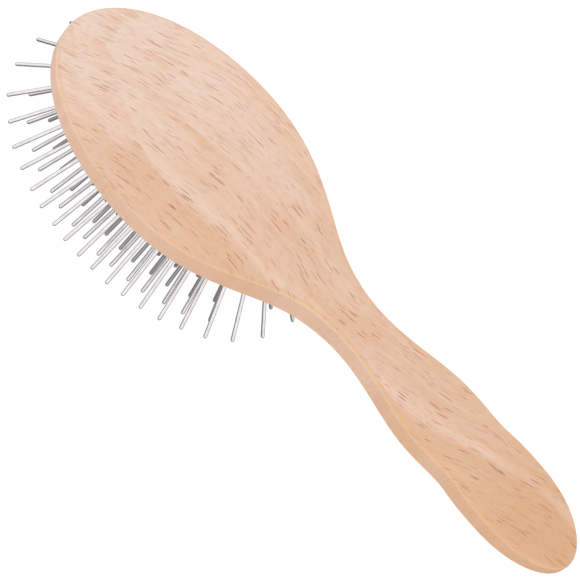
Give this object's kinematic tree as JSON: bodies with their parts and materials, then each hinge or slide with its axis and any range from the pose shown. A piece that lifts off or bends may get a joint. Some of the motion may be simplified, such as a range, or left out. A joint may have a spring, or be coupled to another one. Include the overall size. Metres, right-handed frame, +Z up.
{
  "type": "cushioned pin brush",
  "caption": "Wooden brush with an oval head, a contoured handle and a sprung rubber cushion of fanned steel pins.",
  "frame": {"origin": "bottom centre of the whole part's box, on the plane through the tips of the longest pins", "axes": "+X along the brush from the head to the end of the handle, +Z up through the back, pins pointing down, +Y to the right seen from the handle"},
  "size_m": [0.2368, 0.0847, 0.0442],
  "materials": {
    "beech": "fine-sanded beech under a thin satin oil",
    "rubber": "matt moulded rubber",
    "cloth": "plain woven cotton",
    "pin_steel": "polished nickel-plated steel wire"
  },
  "bodies": {
    "handle_body": {"wooden_body": "beech"},
    "cushion": {"rubber_cushion": "rubber", "cushion_backing": "cloth"},
    "outer_row_handle_end": {"outer_pins_handle_end": "pin_steel"},
    "outer_row_head_end": {"outer_pins_head_end": "pin_steel"},
    "outer_row_right_3": {"outer_pins_right_3": "pin_steel"},
    "outer_row_left_3": {"outer_pins_left_3": "pin_steel"},
    "outer_row_right_2": {"outer_pins_right_2": "pin_steel"},
    "outer_row_left_2": {"outer_pins_left_2": "pin_steel"},
    "outer_row_right_1": {"outer_pins_right_1": "pin_steel"},
    "outer_row_left_1": {"outer_pins_left_1": "pin_steel"},
    "second_row_handle_end": {"second_pins_handle_end": "pin_steel"},
    "second_row_head_end": {"second_pins_head_end": "pin_steel"},
    "second_row_right_3": {"second_pins_right_3": "pin_steel"},
    "second_row_left_3": {"second_pins_left_3": "pin_steel"},
    "second_row_right_2": {"second_pins_right_2": "pin_steel"},
    "second_row_left_2": {"second_pins_left_2": "pin_steel"},
    "second_row_right_1": {"second_pins_right_1": "pin_steel"},
    "second_row_left_1": {"second_pins_left_1": "pin_steel"},
    "third_row_handle_end": {"third_pins_handle_end": "pin_steel"},
    "third_row_head_end": {"third_pins_head_end": "pin_steel"},
    "third_row_right_2": {"third_pins_right_2": "pin_steel"},
    "third_row_left_2": {"third_pins_left_2": "pin_steel"},
    "third_row_right_1": {"third_pins_right_1": "pin_steel"},
    "third_row_left_1": {"third_pins_left_1": "pin_steel"},
    "fourth_row_handle_end": {"fourth_pins_handle_end": "pin_steel"},
    "fourth_row_head_end": {"fourth_pins_head_end": "pin_steel"},
    "fourth_row_right_2": {"fourth_pins_right_2": "pin_steel"},
    "fourth_row_left_2": {"fourth_pins_left_2": "pin_steel"},
    "fourth_row_right_1": {"fourth_pins_right_1": "pin_steel"},
    "fourth_row_left_1": {"fourth_pins_left_1": "pin_steel"},
    "inner_row_handle_end": {"inner_pins_handle_end": "pin_steel"},
    "inner_row_head_end": {"inner_pins_head_end": "pin_steel"},
    "inner_row_right_1": {"inner_pins_right_1": "pin_steel"},
    "inner_row_left_1": {"inner_pins_left_1": "pin_steel"}
  },
  "joints": [
    {"name": "cushion_press", "type": "slide", "parent": "handle_body", "child": "cushion", "axis": [0, 0, 1], "range_m": [0, 0.003], "stiffness_N_per_m": 3000, "deforming": ["rubber_cushion", "cushion_backing"]},
    {"name": "outer_row_handle_end_rock", "type": "hinge", "parent": "cushion", "child": "outer_row_handle_end", "pos_m": [-0.01417, 0, 0.02923], "axis": [0, -1, 0], "range_deg": [-8, 8], "stiffness_Nm_per_rad": 0.15},
    {"name": "outer_row_head_end_rock", "type": "hinge", "parent": "cushion", "child": "outer_row_head_end", "pos_m": [-0.09838, 0, 0.02916], "axis": [0, 1, 0], "range_deg": [-8, 8], "stiffness_Nm_per_rad": 0.15},
    {"name": "outer_row_right_3_rock", "type": "hinge", "parent": "cushion", "child": "outer_row_right_3", "pos_m": [-0.03072, 0.01987, 0.02921], "axis": [0.9183, -0.396, 0], "range_deg": [-8, 8], "stiffness_Nm_per_rad": 0.15},
    {"name": "outer_row_left_3_rock", "type": "hinge", "parent": "cushion", "child": "outer_row_left_3", "pos_m": [-0.03072, -0.01987, 0.02921], "axis": [-0.9183, -0.396, 0], "range_deg": [-8, 8], "stiffness_Nm_per_rad": 0.15},
    {"name": "outer_row_right_2_rock", "type": "hinge", "parent": "cushion", "child": "outer_row_right_2", "pos_m": [-0.05631, 0.02479, 0.02919], "axis": [1, 0, 0], "range_deg": [-8, 8], "stiffness_Nm_per_rad": 0.15},
    {"name": "outer_row_left_2_rock", "type": "hinge", "parent": "cushion", "child": "outer_row_left_2", "pos_m": [-0.05631, -0.02479, 0.02919], "axis": [-1, 0, 0], "range_deg": [-8, 8], "stiffness_Nm_per_rad": 0.15},
    {"name": "outer_row_right_1_rock", "type": "hinge", "parent": "cushion", "child": "outer_row_right_1", "pos_m": [-0.08189, 0.01982, 0.02917], "axis": [0.9183, 0.396, 0], "range_deg": [-8, 8], "stiffness_Nm_per_rad": 0.15},
    {"name": "outer_row_left_1_rock", "type": "hinge", "parent": "cushion", "child": "outer_row_left_1", "pos_m": [-0.08189, -0.01982, 0.02917], "axis": [-0.9183, 0.396, 0], "range_deg": [-8, 8], "stiffness_Nm_per_rad": 0.15},
    {"name": "second_row_handle_end_rock", "type": "hinge", "parent": "cushion", "child": "second_row_handle_end", "pos_m": [-0.0197, 0, 0.02678], "axis": [0, -1, 0], "range_deg": [-8, 8], "stiffness_Nm_per_rad": 0.15},
    {"name": "second_row_head_end_rock", "type": "hinge", "parent": "cushion", "child": "second_row_head_end", "pos_m": [-0.09287, 0, 0.02675], "axis": [0, 1, 0], "range_deg": [-8, 8], "stiffness_Nm_per_rad": 0.15},
    {"name": "second_row_right_3_rock", "type": "hinge", "parent": "cushion", "child": "second_row_right_3", "pos_m": [-0.03531, 0.01676, 0.02678], "axis": [0.9461, -0.3239, 0], "range_deg": [-8, 8], "stiffness_Nm_per_rad": 0.12},
    {"name": "second_row_left_3_rock", "type": "hinge", "parent": "cushion", "child": "second_row_left_3", "pos_m": [-0.03531, -0.01676, 0.02678], "axis": [-0.9461, -0.3239, 0], "range_deg": [-8, 8], "stiffness_Nm_per_rad": 0.12},
    {"name": "second_row_right_2_rock", "type": "hinge", "parent": "cushion", "child": "second_row_right_2", "pos_m": [-0.05631, 0.02005, 0.02677], "axis": [1, 0, 0], "range_deg": [-8, 8], "stiffness_Nm_per_rad": 0.12},
    {"name": "second_row_left_2_rock", "type": "hinge", "parent": "cushion", "child": "second_row_left_2", "pos_m": [-0.05631, -0.02005, 0.02677], "axis": [-1, 0, 0], "range_deg": [-8, 8], "stiffness_Nm_per_rad": 0.12},
    {"name": "second_row_right_1_rock", "type": "hinge", "parent": "cushion", "child": "second_row_right_1", "pos_m": [-0.0773, 0.01673, 0.02676], "axis": [0.9461, 0.3239, 0], "range_deg": [-8, 8], "stiffness_Nm_per_rad": 0.12},
    {"name": "second_row_left_1_rock", "type": "hinge", "parent": "cushion", "child": "second_row_left_1", "pos_m": [-0.0773, -0.01673, 0.02675], "axis": [-0.9461, 0.3239, 0], "range_deg": [-8, 8], "stiffness_Nm_per_rad": 0.12},
    {"name": "third_row_handle_end_rock", "type": "hinge", "parent": "cushion", "child": "third_row_handle_end", "pos_m": [-0.02553, 0, 0.02525], "axis": [0, -1, 0], "range_deg": [-8, 8], "stiffness_Nm_per_rad": 0.15},
    {"name": "third_row_head_end_rock", "type": "hinge", "parent": "cushion", "child": "third_row_head_end", "pos_m": [-0.08706, 0, 0.02523], "axis": [0, 1, 0], "range_deg": [-8, 8], "stiffness_Nm_per_rad": 0.15},
    {"name": "third_row_right_2_rock", "type": "hinge", "parent": "cushion", "child": "third_row_right_2", "pos_m": [-0.0428, 0.01388, 0.02524], "axis": [0.9803, -0.1976, 0], "range_deg": [-8, 8], "stiffness_Nm_per_rad": 0.12},
    {"name": "third_row_left_2_rock", "type": "hinge", "parent": "cushion", "child": "third_row_left_2", "pos_m": [-0.0428, -0.01388, 0.02524], "axis": [-0.9803, -0.1976, 0], "range_deg": [-8, 8], "stiffness_Nm_per_rad": 0.12},
    {"name": "third_row_right_1_rock", "type": "hinge", "parent": "cushion", "child": "third_row_right_1", "pos_m": [-0.06712, 0.01417, 0.02523], "axis": [0.9874, 0.1584, 0], "range_deg": [-8, 8], "stiffness_Nm_per_rad": 0.15},
    {"name": "third_row_left_1_rock", "type": "hinge", "parent": "cushion", "child": "third_row_left_1", "pos_m": [-0.06711, -0.01417, 0.02523], "axis": [-0.9874, 0.1584, 0], "range_deg": [-8, 8], "stiffness_Nm_per_rad": 0.15},
    {"name": "fourth_row_handle_end_rock", "type": "hinge", "parent": "cushion", "child": "fourth_row_handle_end", "pos_m": [-0.02896, -0.00001, 0.02461], "axis": [0, -1, 0], "range_deg": [-8, 8], "stiffness_Nm_per_rad": 0.09},
    {"name": "fourth_row_head_end_rock", "type": "hinge", "parent": "cushion", "child": "fourth_row_head_end", "pos_m": [-0.08364, 0.00001, 0.0246], "axis": [0, 1, 0], "range_deg": [-8, 8], "stiffness_Nm_per_rad": 0.09},
    {"name": "fourth_row_right_2_rock", "type": "hinge", "parent": "cushion", "child": "fourth_row_right_2", "pos_m": [-0.04492, 0.00945, 0.02461], "axis": [0.9869, -0.1614, 0], "range_deg": [-8, 8], "stiffness_Nm_per_rad": 0.12},
    {"name": "fourth_row_left_2_rock", "type": "hinge", "parent": "cushion", "child": "fourth_row_left_2", "pos_m": [-0.04492, -0.00945, 0.0246], "axis": [-0.9869, -0.1614, 0], "range_deg": [-8, 8], "stiffness_Nm_per_rad": 0.12},
    {"name": "fourth_row_right_1_rock", "type": "hinge", "parent": "cushion", "child": "fourth_row_right_1", "pos_m": [-0.0677, 0.00944, 0.0246], "axis": [0.9869, 0.1614, 0], "range_deg": [-8, 8], "stiffness_Nm_per_rad": 0.12},
    {"name": "fourth_row_left_1_rock", "type": "hinge", "parent": "cushion", "child": "fourth_row_left_1", "pos_m": [-0.0677, -0.00944, 0.0246], "axis": [-0.9869, 0.1614, 0], "range_deg": [-8, 8], "stiffness_Nm_per_rad": 0.12},
    {"name": "inner_row_handle_end_rock", "type": "hinge", "parent": "cushion", "child": "inner_row_handle_end", "pos_m": [-0.0352, 0, 0.0246], "axis": [0, -1, 0], "range_deg": [-8, 8], "stiffness_Nm_per_rad": 0.09},
    {"name": "inner_row_head_end_rock", "type": "hinge", "parent": "cushion", "child": "inner_row_head_end", "pos_m": [-0.07742, 0, 0.0246], "axis": [0, 1, 0], "range_deg": [-8, 8], "stiffness_Nm_per_rad": 0.09},
    {"name": "inner_row_right_1_rock", "type": "hinge", "parent": "cushion", "child": "inner_row_right_1", "pos_m": [-0.05631, 0.00539, 0.0246], "axis": [1, 0, 0], "range_deg": [-8, 8], "stiffness_Nm_per_rad": 0.15},
    {"name": "inner_row_left_1_rock", "type": "hinge", "parent": "cushion", "child": "inner_row_left_1", "pos_m": [-0.05631, -0.00539, 0.0246], "axis": [-1, 0, 0], "range_deg": [-8, 8], "stiffness_Nm_per_rad": 0.15}
  ]
}
